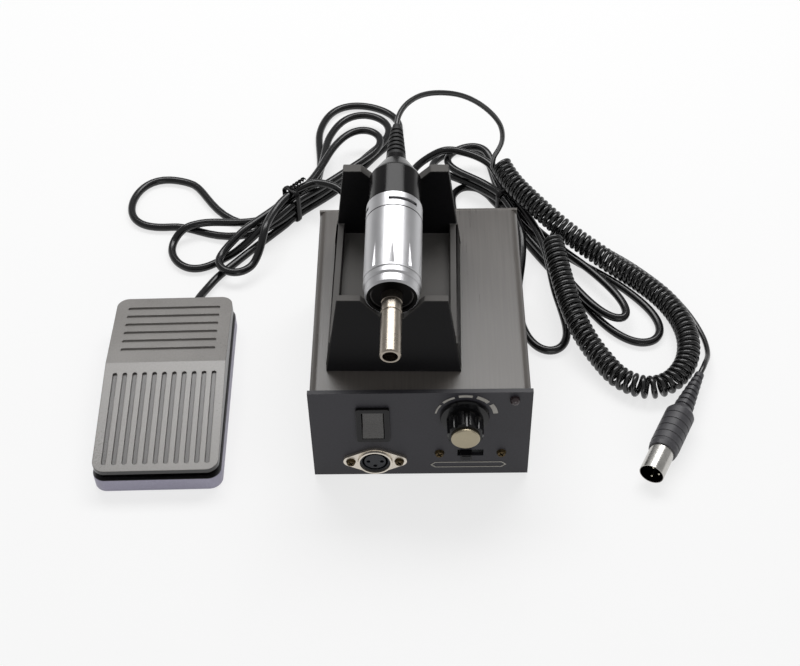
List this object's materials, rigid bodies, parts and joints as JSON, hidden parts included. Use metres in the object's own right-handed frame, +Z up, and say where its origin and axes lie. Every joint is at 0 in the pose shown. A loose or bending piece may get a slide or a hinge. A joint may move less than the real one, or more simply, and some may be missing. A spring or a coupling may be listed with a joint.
{
  "type": "dental micromotor set",
  "caption": "Bench control unit with a cradle for its motor handpiece, a coiled motor cord with a round plug, a foot pedal on a lead and a mains lead.",
  "frame": {"origin": "centre of the footprint of control unit and pedal together, on the floor", "axes": "+Z up, -Y towards the viewer and the front panel, +X to the right of the front panel"},
  "size_m": [0.3482, 0.3316, 0.132],
  "materials": {
    "painted_steel_charcoal": "fine textured powder coat",
    "painted_steel_grey": "satin grey paint with a fine brushed grain",
    "zinc_sheet": "zinc plated sheet",
    "black_plastic": "moulded matte black",
    "gloss_black": "glossy black",
    "black_rubber": "soft matte",
    "cord_black": "satin PVC jacket",
    "rocker_plastic": "satin dark grey",
    "nickel": "bright nickel",
    "champagne": "spun champagne anodised",
    "brass": "passivated brass",
    "lamp_red": "tinted clear lens",
    "mark_white": "printed ink",
    "board_green": "solder mask",
    "core_steel": "varnished laminations",
    "copper": "enamelled copper winding",
    "polished_steel": "polished",
    "satin_steel": "turned",
    "shaft_steel": "ground",
    "magnet": "sintered ferrite",
    "carbon": "pressed carbon",
    "pedal_grey": "warm grey moulded",
    "pedal_lilac": "lilac grey moulded",
    "button_red": "moulded"
  },
  "bodies": {
    "unit": {"base_chassis": "zinc_sheet", "top_cover": "painted_steel_grey", "front_panel": "painted_steel_charcoal", "rear_panel": "painted_steel_grey", "rubber_feet": "black_rubber", "cover_screws": "brass", "cradle": "black_plastic", "rocker_housing": "black_plastic", "socket_shell": "nickel", "socket_insert": "black_plastic", "socket_contacts": "brass", "panel_screws": "brass", "speed_pot": "zinc_sheet", "direction_switch": "zinc_sheet", "indicator_lamp": "lamp_red", "panel_marks": "mark_white", "control_board": "board_green", "transformer_core": "core_steel", "transformer_coil": "copper", "fuse_holder": "black_plastic", "mains_gland": "black_rubber", "pedal_gland": "black_rubber", "pedal_base": "pedal_lilac", "hinge_pin": "shaft_steel", "return_spring": "shaft_steel", "micro_switch": "black_plastic", "pedal_bush": "black_rubber", "motor_lead": "cord_black", "motor_curl": "cord_black", "motor_tail": "cord_black", "plug_grip": "black_rubber", "plug_shell": "nickel", "plug_insert": "black_plastic", "plug_pins": "brass", "pedal_lead": "cord_black", "pedal_hank": "cord_black", "pedal_feed": "cord_black", "mains_lead": "cord_black", "mains_hank": "cord_black", "mains_feed": "cord_black", "mains_plug": "black_plastic"},
    "knob": {"speed_knob": "gloss_black", "knob_cap": "champagne", "pot_shaft": "shaft_steel"},
    "rocker": {"power_rocker": "rocker_plastic"},
    "direction": {"direction_slider": "black_plastic"},
    "motor": {"motor_barrel": "polished_steel", "end_ring": "polished_steel", "rear_cap": "black_plastic", "cord_boot": "black_rubber", "nose_spigot": "satin_steel", "magnets": "magnet", "bearings": "shaft_steel", "brushes": "carbon", "brush_springs": "shaft_steel"},
    "rotor": {"armature": "copper", "rotor_shaft": "shaft_steel", "commutator": "copper"},
    "treadle": {"treadle": "pedal_grey"},
    "button": {"switch_button": "button_red"}
  },
  "joints": [
    {"name": "power_rock", "type": "hinge", "parent": "unit", "child": "rocker", "pos_m": [0.0345, -0.0625, 0.0427], "axis": [1, 0, 0], "range_deg": [0, 24]},
    {"name": "speed_turn", "type": "hinge", "parent": "unit", "child": "knob", "pos_m": [0.0808, -0.072, 0.0483], "axis": [0, -1, 0], "range_deg": [0, 270]},
    {"name": "direction_slide", "type": "slide", "parent": "unit", "child": "direction", "axis": [1, 0, 0], "range_m": [0, 0.0046]},
    {"name": "motor_lift", "type": "slide", "parent": "unit", "child": "motor", "axis": [0, 0, 1], "range_m": [0, 0.08]},
    {"name": "rotor_spin", "type": "hinge", "parent": "motor", "child": "rotor", "pos_m": [0.04581, -0.02311, 0.11279], "axis": [0.0191, 0.9943, 0.1045], "continuous": true},
    {"name": "treadle_press", "type": "hinge", "parent": "unit", "child": "treadle", "pos_m": [-0.08138, 0.03313, 0.0144], "axis": [0.9998, 0.0175, 0], "range_deg": [0, 1.8], "stiffness_Nm_per_rad": 3, "springref_deg": -6.88, "deforming": ["return_spring"]},
    {"name": "button_press", "type": "slide", "parent": "unit", "child": "button", "axis": [0, 0, -1], "range_m": [0, 0.0014]}
  ],
  "couplings": [
    {"joint": "button_press", "follows": "treadle_press", "m_per_rad": 0.04064}
  ]
}
